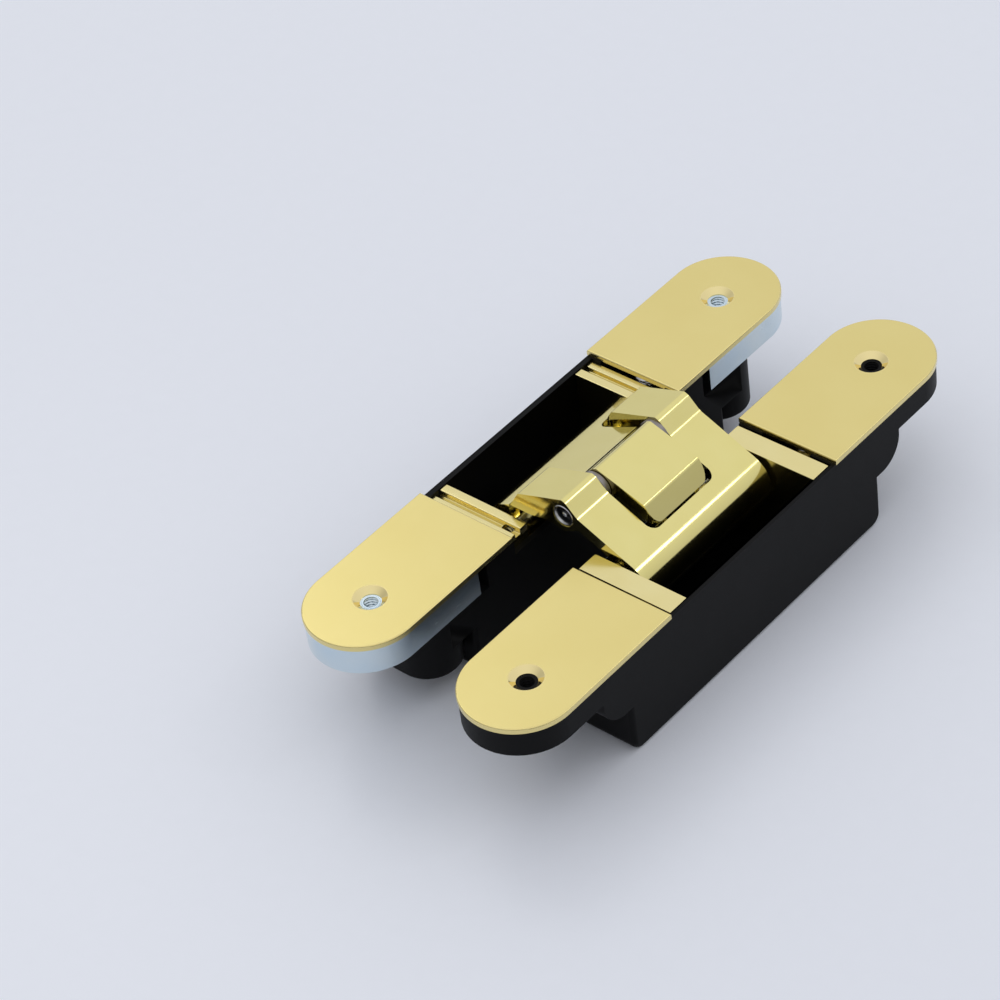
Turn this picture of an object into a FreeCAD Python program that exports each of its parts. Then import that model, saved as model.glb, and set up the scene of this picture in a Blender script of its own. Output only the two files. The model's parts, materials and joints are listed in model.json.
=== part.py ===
import FreeCAD, Part
import math
import os
import types

import Sketcher

# Concealed door hinge, opened flat and lying on the backs of its two bodies.
# X runs across the hinge from the jamb body to the door body, Y along it, Z up; the floor is Z = 0.

# Driving dimensions in millimetres
SIZES = {
    "hinge_length": 160.0,
    "cover_width": 28.0,
    "cover_thickness": 1.4,
    "cover_gap": 0.5,
    "cover_hole_inset": 2.4,
    "cover_hole_radius": 2.5,
    "cover_sink_radius": 4.0,
    "cover_sink_depth": 1.25,
    "cover_edge_round": 0.35,
    "peg_inset": 2.4,
    "peg_spacing": 22.4,
    "peg_radius": 1.5,
    "peg_length": 2.4,
    "peg_hole_radius": 1.75,
    "peg_hole_depth": 3.0,
    "cover_thread_radius": 2.1,
    "centre_spacing": 45.7,
    "body_inset": 0.3,
    "body_depth": 30.4,
    "flange_thickness": 6.8,
    "step_depth": 16.4,
    "deep_end_length": 16.5,
    "deep_round": 3.0,
    "door_step_inset": 11.0,
    "jamb_step_inset": 4.0,
    "step_round": 7.0,
    "wall": 1.5,
    "floor_thickness": 1.7,
    "sill_drop": 5.8,
    "long_edge_round": 1.2,
    "jamb_upper_wall": 0.6,
    "plate_gap": 2.8,
    "plate_thickness": 7.0,
    "wood_screw_outset": 2.9,
    "wood_screw_spacing": 15.4,
    "wood_screw_radius": 2.6,
    "wood_sink_radius": 5.15,
    "wood_sink_depth": 2.6,
    "clamp_inset": 10.1,
    "clamp_spacing": 16.7,
    "clamp_radius": 2.5,
    "clamp_head_radius": 4.2,
    "clamp_head_height": 3.6,
    "clamp_head_drop": 0.5,
    "clamp_depth": 7.0,
    "clamp_key_radius": 2.3,
    "key_depth": 2.2,
    "slot_length": 14.0,
    "slot_width": 9.0,
    "slot_shank_gap": 0.35,
    "plate_screw_inset": 6.1,
    "plate_screw_radius": 3.0,
    "plate_screw_key_radius": 1.8,
    "block_screw_inset": 5.9,
    "block_screw_radius": 3.2,
    "block_screw_drop": 4.2,
    "block_screw_length": 12.5,
    "jamb_recess_half_width": 9.5,
    "jamb_recess_spare": 1.6,
    "jamb_recess_depth": 11.0,
    "block_side_gap": 1.0,
    "block_width": 6.5,
    "jamb_bar_width": 2.5,
    "jamb_groove_width": 1.7,
    "jamb_groove_depth": 1.6,
    "jamb_bar_drop": 1.7,
    "jamb_rail_drop": 2.1,
    "door_bar_gap": 0.7,
    "door_bar_drop": 1.2,
    "door_bar_height": 2.8,
    "door_bar_side_inset": 0.35,
    "carriage_gap": 0.15,
    "carriage_travel": 1.5,
    "carriage_spare": 0.3,
    "foot_half_width": 6.4,
    "foot_end_gap": 1.5,
    "foot_drop": 6.6,
    "foot_thickness": 6.0,
    "door_screw_inset": 9.0,
    "door_screw_radius": 4.0,
    "door_screw_drop": 2.6,
    "door_screw_neck_radius": 2.2,
    "door_screw_key_radius": 2.3,
    "door_screw_key_depth": 4.0,
    "door_recess_half_width": 7.0,
    "door_recess_length": 15.9,
    "door_recess_depth": 15.0,
    "door_neck_depth": 3.2,
    "turning_gap": 0.06,
    "pivot_inset": 8.85,
    "pivot_drop": 14.0,
    "pivot_radius": 1.75,
    "pivot_boss_radius": 2.9,
    "pivot_gap": 0.03,
    "knuckle_rise": 4.8,
    "knuckle_radius": 4.7,
    "centre_pin_radius": 3.0,
    "centre_pin_dish_radius": 2.25,
    "centre_pin_dish_depth": 1.2,
    "closed_gap": 4.8,
    "arm_half_width": 22.5,
    "tongue_half_width": 9.9,
    "washer_radius": 4.0,
    "washer_thickness": 1.45,
    "washer_gap": 0.15,
    "shoulder_gap": 0.4,
    "window_gap": 0.6,
    "window_round": 2.4,
    "tip_overhang": 2.1,
    "tip_rise": 0.2,
    "tip_slant": 2.9,
    "tip_height": 4.8,
    "tip_foot": 6.0,
    "tip_round": 1.2,
    "crest_rise": 9.55,
    "crest_round": 0.5,
    "brow_reach": 1.1,
    "brow_rise": 9.15,
    "brow_round": 3.0,
    "ramp_start": 4.25,
    "ramp_start_rise": 5.85,
    "ramp_round": 4.0,
    "bend_drop": 3.25,
    "bend_round": 5.0,
    "plate_reach": 24.0,
    "foot_round": 1.75,
    "inside_round": 1.2,
    "arm_thickness": 3.5,
    "guide_inset": 6.3,
    "guide_drop": 4.6,
    "guide_radius": 1.5,
    "guide_lug_radius": 2.0,
    "guide_lug_width": 6.0,
    "guide_slot_gap": 0.3,
    "guide_slot_depth": 3.3,
    "guide_end_gap": 0.4,
}

LIST_OF_NODES = []


class Size:
    """A length that knows both its value and the formula of the sheet that gives it."""

    def __init__(self, value, formula):
        self.value = float(value)
        self.formula = formula

    def joined(self, other, sign, value):
        return Size(value, "(%s %s %s)" % (self.formula, sign, other.formula))

    def __add__(self, other):
        other = as_size(other)
        return self.joined(other, "+", self.value + other.value)

    def __sub__(self, other):
        other = as_size(other)
        return self.joined(other, "-", self.value - other.value)

    def __mul__(self, other):
        other = as_size(other)
        return self.joined(other, "*", self.value * other.value)

    def __truediv__(self, other):
        other = as_size(other)
        return self.joined(other, "/", self.value / other.value)

    def __radd__(self, other):
        return as_size(other) + self

    def __rsub__(self, other):
        return as_size(other) - self

    def __rmul__(self, other):
        return as_size(other) * self

    def __neg__(self):
        return as_size(0) - self


def as_size(value):
    return value if isinstance(value, Size) else Size(value, "(%r)" % float(value))


# The document and its sheet of sizes
doc = FreeCAD.newDocument("ConcealedHinge")
sheet = doc.addObject("Spreadsheet::Sheet", "Sizes")
for row, (size_name, size_value) in enumerate(SIZES.items(), start=1):
    sheet.set("A%d" % row, size_name.replace("_", " "))
    sheet.set("B%d" % row, str(size_value))
    sheet.setAlias("B%d" % row, size_name)
doc.recompute()
d = types.SimpleNamespace(**{name: Size(value, "Sizes." + name) for name, value in SIZES.items()})

# Heights and half widths that many pieces share
half_length = d.hinge_length / 2
half_cover = d.cover_width / 2
half_body = half_cover - d.body_inset
half_pocket = half_body - d.wall
top_plane = d.body_depth
casting_top = top_plane - d.cover_thickness
flange_bottom = casting_top - d.flange_thickness
plate_bottom = casting_top - d.plate_thickness
step_bottom = top_plane - d.step_depth
sill = top_plane - d.sill_drop
half_spacing = d.centre_spacing / 2
jamb_place = -half_spacing
door_place = half_spacing
end_centre = half_length - half_cover
bar_start = d.arm_half_width + d.block_side_gap
pocket_end = bar_start + d.block_width
door_bar_end = pocket_end - d.door_bar_gap
block_screw_place = pocket_end + d.block_screw_inset
jamb_recess_end = block_screw_place + d.jamb_recess_spare
jamb_upper_half = block_screw_place + d.block_screw_radius + d.jamb_upper_wall
plate_start = jamb_upper_half + d.plate_gap
peg_place = plate_start + d.peg_inset
plate_screw_place = plate_start + d.plate_screw_inset
door_screw_place = pocket_end + d.door_screw_inset
door_recess_end = pocket_end + d.door_recess_length
deep_half = pocket_end + d.deep_end_length
clamp_place = end_centre - d.clamp_inset
cover_hole_place = end_centre - d.cover_hole_inset
wood_screw_place = end_centre + d.wood_screw_outset
leg_start = d.tongue_half_width + d.washer_gap + d.washer_thickness
guide_end = bar_start + d.guide_slot_depth - d.guide_end_gap
guide_reach = d.plate_reach - d.arm_thickness - d.guide_inset
tip_reach = guide_reach + d.tip_overhang
shoulder_edge = tip_reach + d.shoulder_gap
window_edge = tip_reach + d.window_gap
knuckle_height = top_plane + d.knuckle_rise
pivot_height = top_plane - d.pivot_drop
pivot_reach = half_spacing - d.pivot_inset
guide_height = top_plane - d.guide_drop
NEAR_AND_FAR = (("near", -1), ("far", 1))
LEFT_AND_RIGHT = (("left", -1), ("right", 1))


# Tools for sketches and features
def bind(target, prop, size):
    target.setExpression(prop, as_size(size).formula)


def place(target, x=0, y=0, z=0, rotation=None):
    """Puts a piece or a primitive at a place that follows the sheet."""
    x, y, z = as_size(x), as_size(y), as_size(z)
    target.Placement = FreeCAD.Placement(
        FreeCAD.Vector(x.value, y.value, z.value), rotation or FreeCAD.Rotation()
    )
    bind(target, "Placement.Base.x", x)
    bind(target, "Placement.Base.y", y)
    bind(target, "Placement.Base.z", z)


def new_piece(label):
    body = doc.addObject("PartDesign::Body", label)
    body.Label = label
    LIST_OF_NODES.append(body)
    return body


def new_sketch(body, name, plane, offset=0):
    """A sketch on one of the body's own origin planes, moved along the plane's normal."""
    sketch = body.newObject("Sketcher::SketchObject", name)
    support = [f for f in body.Origin.OriginFeatures if f.Role == plane][0]
    sketch.AttachmentSupport = [(support, "")]
    sketch.MapMode = "FlatFace"
    bind(sketch, "AttachmentOffset.Base.z", offset)
    return sketch


def fix_point(sketch, curve, end, x, y):
    for kind, size in (("DistanceX", as_size(x)), ("DistanceY", as_size(y))):
        number = sketch.addConstraint(Sketcher.Constraint(kind, curve, end, size.value))
        sketch.setExpression("Constraints[%d]" % number, size.formula)


def outline(sketch, points, arcs=None):
    """A closed outline through the points. arcs gives {index of its first point: (centre, turn)},
    where turn is 1 for an arc that runs anticlockwise and -1 for one that runs clockwise."""
    arcs = arcs or {}
    vectors = [FreeCAD.Vector(as_size(x).value, as_size(y).value, 0) for x, y in points]
    ends = []
    for index, start in enumerate(vectors):
        finish = vectors[(index + 1) % len(vectors)]
        if index not in arcs:
            curve = sketch.addGeometry(Part.LineSegment(start, finish), False)
            ends.append((curve, 1, 2))
            continue
        (centre_x, centre_y), turn = arcs[index]
        centre = FreeCAD.Vector(as_size(centre_x).value, as_size(centre_y).value, 0)
        first, last = (start, finish) if turn > 0 else (finish, start)
        angle = math.atan2(first.y - centre.y, first.x - centre.x)
        sweep = (math.atan2(last.y - centre.y, last.x - centre.x) - angle) % (2 * math.pi)
        circle = Part.Circle(centre, FreeCAD.Vector(0, 0, 1), (first - centre).Length)
        curve = sketch.addGeometry(Part.ArcOfCircle(circle, angle, angle + sweep), False)
        ends.append((curve, 1, 2) if turn > 0 else (curve, 2, 1))
        chord = finish - start
        if abs(chord.x) > abs(chord.y):
            kind, size = "DistanceY", as_size(centre_y)
        else:
            kind, size = "DistanceX", as_size(centre_x)
        number = sketch.addConstraint(Sketcher.Constraint(kind, curve, 3, size.value))
        sketch.setExpression("Constraints[%d]" % number, size.formula)
    for index, (curve, start, finish) in enumerate(ends):
        other, other_start, _ = ends[(index + 1) % len(ends)]
        sketch.addConstraint(Sketcher.Constraint("Coincident", curve, finish, other, other_start))
        fix_point(sketch, curve, start, *points[index])


def pad(body, sketch, length, symmetric=False):
    feature = body.newObject("PartDesign::Pad", sketch.Name + "Pad")
    feature.Profile = sketch
    feature.SideType = "Symmetric" if symmetric else "One side"
    bind(feature, "Length", length)
    doc.recompute()
    return feature


def pocket(body, sketch, length, towards_normal=False):
    feature = body.newObject("PartDesign::Pocket", sketch.Name + "Pocket")
    feature.Profile = sketch
    feature.Reversed = towards_normal
    bind(feature, "Length", length)
    doc.recompute()
    return feature


def box(body, name, x, y, z, cut=True):
    """A box between the given limits, cut from the body or added to it."""
    kind = "PartDesign::SubtractiveBox" if cut else "PartDesign::AdditiveBox"
    feature = body.newObject(kind, name)
    limits = [(as_size(low), as_size(high)) for low, high in (x, y, z)]
    for prop, (low, high) in zip(("Length", "Width", "Height"), limits):
        bind(feature, prop, high - low)
    place(feature, *(low for low, high in limits))
    doc.recompute()
    return feature


def upright(body, name, radius, x, y, low, high, cut=True):
    """A cylinder along Z between two heights."""
    kind = "PartDesign::SubtractiveCylinder" if cut else "PartDesign::AdditiveCylinder"
    feature = body.newObject(kind, name)
    bind(feature, "Radius", radius)
    bind(feature, "Height", as_size(high) - low)
    place(feature, x, y, low)
    doc.recompute()
    return feature


def lying(body, name, radius, x, z, low, high, cut=True):
    """A cylinder along Y between two places."""
    kind = "PartDesign::SubtractiveCylinder" if cut else "PartDesign::AdditiveCylinder"
    feature = body.newObject(kind, name)
    bind(feature, "Radius", radius)
    bind(feature, "Height", as_size(high) - low)
    place(feature, x, low, z, FreeCAD.Rotation(FreeCAD.Vector(1, 0, 0), -90))
    doc.recompute()
    return feature


def sink(body, name, top_radius, low_radius, x, y, top, depth):
    """A countersink that narrows downwards from the height top."""
    feature = body.newObject("PartDesign::SubtractiveCone", name)
    bind(feature, "Radius1", low_radius)
    bind(feature, "Radius2", top_radius)
    bind(feature, "Height", depth)
    place(feature, x, y, as_size(top) - depth)
    doc.recompute()
    return feature


def hexagon(body, name, radius, x, y, top, depth):
    """A six-sided key socket, radius across its corners, cut down from the height top."""
    feature = body.newObject("PartDesign::SubtractivePrism", name)
    feature.Polygon = 6
    bind(feature, "Circumradius", radius)
    bind(feature, "Height", depth)
    place(feature, x, y, as_size(top) - depth)
    doc.recompute()
    return feature


def edges_near(shape, direction, spots, slack=0.05):
    """Names of the straight edges along a direction whose lines pass through one of the spots."""
    names = []
    for number, edge in enumerate(shape.Edges, start=1):
        if not isinstance(edge.Curve, Part.Line):
            continue
        if abs(abs(edge.Curve.Direction.dot(direction)) - 1) > 1e-6:
            continue
        middle = edge.CenterOfMass
        for spot in spots:
            offset = middle - spot
            offset -= direction * offset.dot(direction)
            if offset.Length < slack:
                names.append("Edge%d" % number)
                break
    return names


def round_edges(body, name, radius, direction, spots):
    names = edges_near(body.Shape, direction, spots)
    if not names:
        raise ValueError("no edges to round for " + name)
    base = body.Tip
    feature = body.newObject("PartDesign::Fillet", name)
    feature.Base = (base, names)
    bind(feature, "Radius", radius)
    doc.recompute()
    return feature


ALONG_X = FreeCAD.Vector(1, 0, 0)
ALONG_Y = FreeCAD.Vector(0, 1, 0)


# Shapes that several pieces share
def rounded_end_outline(sketch, start, finish, half_width, way):
    """A plate's outline in plan: straight end at start, round end at finish, on the side way of Y."""
    centre = (finish - half_width) * way
    straight = start * way
    points = [
        (half_width, straight),
        (half_width, centre),
        (-half_width, centre),
        (-half_width, straight),
    ]
    outline(sketch, points, {1: ((0, centre), way)})


def slot(body, name, half_width, length, x, y, low, high):
    """A slot along Y with round ends."""
    reach = as_size(length) / 2 - half_width
    upright(body, name + "Start", half_width, x, y - reach, low, high)
    upright(body, name + "Finish", half_width, x, y + reach, low, high)
    box(body, name + "Middle", (x - half_width, x + half_width), (y - reach, y + reach), (low, high))


def casting_side(body, step_half, upper_half=None):
    """The body seen from the side: deep middle, shallower step with a round lower corner."""
    sketch = new_sketch(body, "Side", "YZ_Plane")
    outer = [
        (deep_half - d.deep_round, as_size(0)),
        (deep_half, d.deep_round),
        (deep_half, step_bottom),
        (step_half - d.step_round, step_bottom),
        (step_half, step_bottom + d.step_round),
    ]
    if upper_half is None:
        outer += [(step_half, casting_top)]
    else:
        outer += [(step_half, plate_bottom), (upper_half, plate_bottom), (upper_half, casting_top)]
    mirrored = [(-y, z) for y, z in reversed(outer)]
    count = len(outer)
    low_centre = (deep_half - d.deep_round, d.deep_round)
    step_centre = (step_half - d.step_round, step_bottom + d.step_round)
    arcs = {
        0: (low_centre, 1),
        3: (step_centre, 1),
        2 * count - 5: ((-step_centre[0], step_centre[1]), 1),
        2 * count - 2: ((-low_centre[0], low_centre[1]), 1),
    }
    outline(sketch, outer + mirrored, arcs)
    pad(body, sketch, half_body * 2, symmetric=True)
    corners = [FreeCAD.Vector(half_body.value * side, 0, 0) for side in (-1, 1)]
    round_edges(body, "LongEdges", d.long_edge_round, ALONG_Y, corners)


def open_pocket(body, inner):
    """The pocket that takes the folded arms, and the lower sill of its inner wall."""
    box(
        body,
        "ArmPocket",
        (-half_pocket, half_pocket),
        (-pocket_end, pocket_end),
        (d.floor_thickness, top_plane),
    )
    near_face, far_face = half_pocket - d.wall, half_body + d.wall
    limits = (near_face, far_face) if inner > 0 else (-far_face, -near_face)
    box(body, "Sill", limits, (-pocket_end, pocket_end), (sill, top_plane))


def way_limits(way, low, high):
    """Limits along Y on the near or far side of the hinge."""
    return (low, high) if way > 0 else (-as_size(high), -as_size(low))


# The fold: the arm turns by ARM_TURN in its body, and the two arms by KNUCKLE_TURN at the knuckle
open_knuckle = FreeCAD.Vector(pivot_reach.value, 0, d.knuckle_rise.value + d.pivot_drop.value)
closed_rise = d.closed_gap.value / 2 + d.pivot_drop.value
closed_reach = -math.sqrt(open_knuckle.Length**2 - closed_rise**2)
ARM_TURN = math.atan2(closed_rise, closed_reach) - math.atan2(open_knuckle.z, open_knuckle.x)
KNUCKLE_TURN = math.pi - 2 * ARM_TURN


def turned(x, z, angle):
    """A point of the XZ plane turned from X towards Z."""
    return x * math.cos(angle) - z * math.sin(angle), x * math.sin(angle) + z * math.cos(angle)


def guide_place(share):
    """Where the tip pin of the other arm is, seen from the pivot, after a share of the fold."""
    knuckle_x, knuckle_z = turned(open_knuckle.x, open_knuckle.z, ARM_TURN * share)
    arm_x = -guide_reach.value
    arm_z = -d.guide_drop.value - d.knuckle_rise.value
    tip_x, tip_z = turned(arm_x, arm_z, (ARM_TURN + KNUCKLE_TURN) * share)
    return FreeCAD.Vector(knuckle_x + tip_x, knuckle_z + tip_z, 0)


# Castings
def make_jamb_body():
    body = new_piece("jamb_body")
    casting_side(body, end_centre - d.jamb_step_inset, jamb_upper_half)
    open_pocket(body, inner=1)
    for name, way in NEAR_AND_FAR:
        box(
            body,
            "Recess" + name,
            (-d.jamb_recess_half_width, d.jamb_recess_half_width),
            way_limits(way, pocket_end - d.wall, jamb_recess_end),
            (top_plane - d.jamb_recess_depth, top_plane),
        )
        screw_foot = top_plane - d.block_screw_drop - d.block_screw_length
        upright(
            body,
            "BlockScrewHole" + name,
            d.block_screw_radius,
            0,
            block_screw_place * way,
            screw_foot,
            top_plane,
        )
        for side_name, side in LEFT_AND_RIGHT:
            upright(
                body,
                "ClampHole" + name + side_name,
                d.clamp_radius,
                d.clamp_spacing / 2 * side,
                clamp_place * way,
                step_bottom,
                top_plane,
            )
    place(body, jamb_place)
    return body


def make_door_body():
    body = new_piece("door_body")
    casting_side(body, end_centre - d.door_step_inset)
    for name, way in NEAR_AND_FAR:
        sketch = new_sketch(body, "Flange" + name, "XY_Plane", flange_bottom)
        rounded_end_outline(sketch, pocket_end, half_length - d.body_inset, half_body, way)
        pad(body, sketch, d.flange_thickness)
    open_pocket(body, inner=-1)
    for name, way in NEAR_AND_FAR:
        bar_notch = way_limits(way, bar_start - d.carriage_spare, pocket_end)
        past_wall = (half_pocket - d.wall, half_body + d.wall)
        box(body, "BarNotch" + name, past_wall, bar_notch, (sill, top_plane))
        box(
            body,
            "Recess" + name,
            (-d.door_recess_half_width, d.door_recess_half_width),
            way_limits(way, pocket_end - d.wall, door_recess_end),
            (top_plane - d.door_recess_depth, top_plane),
        )
        neck_low = top_plane - d.door_recess_depth - d.door_neck_depth
        upright(
            body,
            "NeckSeat" + name,
            d.door_screw_neck_radius + d.turning_gap,
            0,
            door_screw_place * way,
            neck_low,
            top_plane,
        )
        add_fixing_holes(body, name, way)
    place(body, door_place)
    return body


def add_fixing_holes(body, name, way):
    """Wood screw holes, the cover's thread and the cover's peg holes, in a flange or a plate."""
    upright(
        body,
        "CoverThread" + name,
        d.cover_thread_radius,
        0,
        cover_hole_place * way,
        step_bottom,
        top_plane,
    )
    for side_name, side in LEFT_AND_RIGHT:
        x = d.wood_screw_spacing / 2 * side
        y = wood_screw_place * way
        key = name + side_name
        upright(body, "WoodScrew" + key, d.wood_screw_radius, x, y, step_bottom, top_plane)
        wide, narrow = d.wood_sink_radius, d.wood_screw_radius
        sink(body, "WoodSink" + key, wide, narrow, x, y, casting_top, d.wood_sink_depth)
        upright(
            body,
            "PegHole" + key,
            d.peg_hole_radius,
            d.peg_spacing / 2 * side,
            peg_place * way,
            casting_top - d.peg_hole_depth,
            top_plane,
        )


# Sliding fixing plates of the jamb side, with their clamp screws and set screws
def make_fixing_plate(name, way):
    body = new_piece("fixing_plate_" + name)
    sketch = new_sketch(body, "Plan", "XY_Plane", plate_bottom)
    rounded_end_outline(sketch, plate_start, half_length - d.body_inset, half_body, way)
    pad(body, sketch, d.plate_thickness)
    add_fixing_holes(body, name, way)
    seat = casting_top - d.clamp_head_drop - d.clamp_head_height
    for side_name, side in LEFT_AND_RIGHT:
        x = d.clamp_spacing / 2 * side
        y = clamp_place * way
        slot(body, "HeadSlot" + side_name, d.slot_width / 2, d.slot_length, x, y, seat, top_plane)
        shank_half = d.clamp_radius + d.slot_shank_gap
        shank_length = d.slot_length - d.slot_width + shank_half * 2
        slot(body, "ShankSlot" + side_name, shank_half, shank_length, x, y, step_bottom, top_plane)
    upright(
        body,
        "SetScrewHole",
        d.plate_screw_radius,
        0,
        plate_screw_place * way,
        step_bottom,
        top_plane,
    )
    place(body, jamb_place)
    return body


def make_height_screw(name, way, side_name, side):
    body = new_piece("height_screw_%s_%s" % (name, side_name))
    head_top = casting_top - d.clamp_head_drop
    seat = head_top - d.clamp_head_height
    upright(body, "Head", d.clamp_head_radius, 0, 0, seat, head_top, cut=False)
    upright(body, "Shank", d.clamp_radius, 0, 0, plate_bottom - d.clamp_depth, seat, cut=False)
    hexagon(body, "Key", d.clamp_key_radius, 0, 0, head_top, d.key_depth)
    place(body, jamb_place + d.clamp_spacing / 2 * side, clamp_place * way)
    return body


def make_plate_screw(name, way):
    body = new_piece("plate_screw_" + name)
    upright(body, "Thread", d.plate_screw_radius, 0, 0, plate_bottom, casting_top, cut=False)
    hexagon(body, "Key", d.plate_screw_key_radius, 0, 0, casting_top, d.key_depth)
    place(body, jamb_place, plate_screw_place * way)
    return body


# Covers
def make_cover(side_label, name, way, x_place):
    body = new_piece("cover_%s_%s" % (side_label, name))
    sketch = new_sketch(body, "Plan", "XY_Plane", casting_top)
    rounded_end_outline(sketch, pocket_end + d.cover_gap, half_length, half_cover, way)
    plate = pad(body, sketch, d.cover_thickness)
    rim = body.newObject("PartDesign::Fillet", "Rim")
    upper = [
        "Edge%d" % number
        for number, edge in enumerate(plate.Shape.Edges, start=1)
        if abs(edge.BoundBox.ZMin - top_plane.value) < 1e-4
    ]
    rim.Base = (plate, upper)
    bind(rim, "Radius", d.cover_edge_round)
    doc.recompute()
    y = cover_hole_place * way
    upright(body, "Hole", d.cover_hole_radius, 0, y, casting_top, top_plane)
    sink(body, "Sink", d.cover_sink_radius, d.cover_hole_radius, 0, y, top_plane, d.cover_sink_depth)
    for side_name, side in LEFT_AND_RIGHT:
        upright(
            body,
            "Peg" + side_name,
            d.peg_radius,
            d.peg_spacing / 2 * side,
            peg_place * way,
            casting_top - d.peg_length,
            casting_top,
            cut=False,
        )
    place(body, x_place)
    return body


# Pivot blocks
def add_guide_slot(body, way, side):
    """The curved track in which the other arm's tip pin runs while the hinge folds."""
    path = [guide_place(share) for share in (0.0, 0.5, 1.0)]
    for point in path:
        point.x = (d.pivot_inset.value + point.x) * -side
        point.y += pivot_height.value
    circle = Part.Arc(*path).toShape().Curve
    centre, radius = circle.Center, circle.Radius
    half_width = d.guide_radius.value + d.guide_slot_gap.value
    angles = [math.atan2(p.y - centre.y, p.x - centre.x) for p in path]
    first, last = (0, 2) if (angles[2] - angles[0]) % (2 * math.pi) < math.pi else (2, 0)
    sweep = (angles[last] - angles[first]) % (2 * math.pi)
    start = angles[first]
    up = FreeCAD.Vector(0, 0, 1)
    sketch = new_sketch(body, "GuideTrack", "XZ_Plane", -bar_start * way)

    def arc(middle, size, low, high):
        return sketch.addGeometry(Part.ArcOfCircle(Part.Circle(middle, up, size), low, high), False)

    outer = arc(centre, radius + half_width, start, start + sweep)
    end_cap = arc(path[last], half_width, start + sweep, start + sweep + math.pi)
    inner = arc(centre, radius - half_width, start, start + sweep)
    start_cap = arc(path[first], half_width, start + math.pi, start + 2 * math.pi)
    for one, end, other, other_end in (
        (outer, 2, end_cap, 1),
        (end_cap, 2, inner, 2),
        (inner, 1, start_cap, 1),
        (start_cap, 2, outer, 1),
    ):
        sketch.addConstraint(Sketcher.Constraint("Coincident", one, end, other, other_end))
    pocket(body, sketch, d.guide_slot_depth, towards_normal=way < 0)


def add_pin_bore(body, way, side, outer_face):
    low, high = way_limits(way, bar_start, outer_face)
    lying(body, "PinBore", d.pivot_radius, d.pivot_inset * -side, pivot_height, low, high)


def make_jamb_block(name, way):
    body = new_piece("jamb_block_" + name)
    bar_top = top_plane - d.jamb_bar_drop
    rail_top = top_plane - d.jamb_rail_drop
    groove = bar_top - d.jamb_groove_depth
    bar_end = bar_start + d.jamb_bar_width
    groove_end = bar_end + d.jamb_groove_width
    profile = [
        (bar_start, d.floor_thickness),
        (pocket_end, d.floor_thickness),
        (pocket_end, rail_top),
        (groove_end, rail_top),
        (groove_end, groove),
        (bar_end, groove),
        (bar_end, bar_top),
        (bar_start, bar_top),
    ]
    sketch = new_sketch(body, "Side", "YZ_Plane")
    outline(sketch, [(y * way, z) for y, z in profile])
    pad(body, sketch, half_pocket * 2, symmetric=True)
    add_pin_bore(body, way, -1, pocket_end)
    add_guide_slot(body, way, -1)
    place(body, jamb_place)
    return body


def make_block_screw(name, way):
    body = new_piece("block_screw_" + name)
    head = top_plane - d.block_screw_drop
    upright(body, "Thread", d.block_screw_radius, 0, 0, head - d.block_screw_length, head, cut=False)
    hexagon(body, "Key", d.door_screw_key_radius, 0, 0, head, d.key_depth)
    place(body, jamb_place, block_screw_place * way)
    return body


def make_door_block(name, way):
    """The carriage of the door side: pivot block, wide cap bar and the foot for its screw."""
    body = new_piece("door_block_" + name)
    bar_top = top_plane - d.door_bar_drop
    bar_low = bar_top - d.door_bar_height
    half_width = half_pocket - d.carriage_gap
    block_low = d.floor_thickness + d.carriage_travel + d.carriage_spare
    box(
        body,
        "Block",
        (-half_width, half_width),
        way_limits(way, bar_start, door_bar_end),
        (block_low, bar_low),
        cut=False,
    )
    bar_half = half_body - d.door_bar_side_inset
    box(
        body,
        "Bar",
        (-bar_half, bar_half),
        way_limits(way, bar_start, door_bar_end),
        (bar_low, bar_top),
        cut=False,
    )
    foot_top = top_plane - d.foot_drop
    box(
        body,
        "Foot",
        (-d.foot_half_width, d.foot_half_width),
        way_limits(way, door_bar_end, door_recess_end - d.foot_end_gap),
        (foot_top - d.foot_thickness, foot_top),
        cut=False,
    )
    add_pin_bore(body, way, 1, door_bar_end)
    add_guide_slot(body, way, 1)
    upright(
        body,
        "ScrewHole",
        d.door_screw_radius + d.turning_gap,
        0,
        door_screw_place * way,
        foot_top - d.foot_thickness,
        foot_top,
    )
    place(body, door_place)
    return body


def make_door_screw(name, way):
    body = new_piece("door_screw_" + name)
    head = top_plane - d.door_screw_drop
    shoulder = top_plane - d.door_recess_depth
    upright(body, "Thread", d.door_screw_radius, 0, 0, shoulder, head, cut=False)
    neck_low = shoulder - d.door_neck_depth
    upright(body, "Neck", d.door_screw_neck_radius, 0, 0, neck_low, shoulder, cut=False)
    hexagon(body, "Key", d.door_screw_key_radius, 0, 0, head, d.door_screw_key_depth)
    place(body, door_place, door_screw_place * way)
    return body


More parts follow.
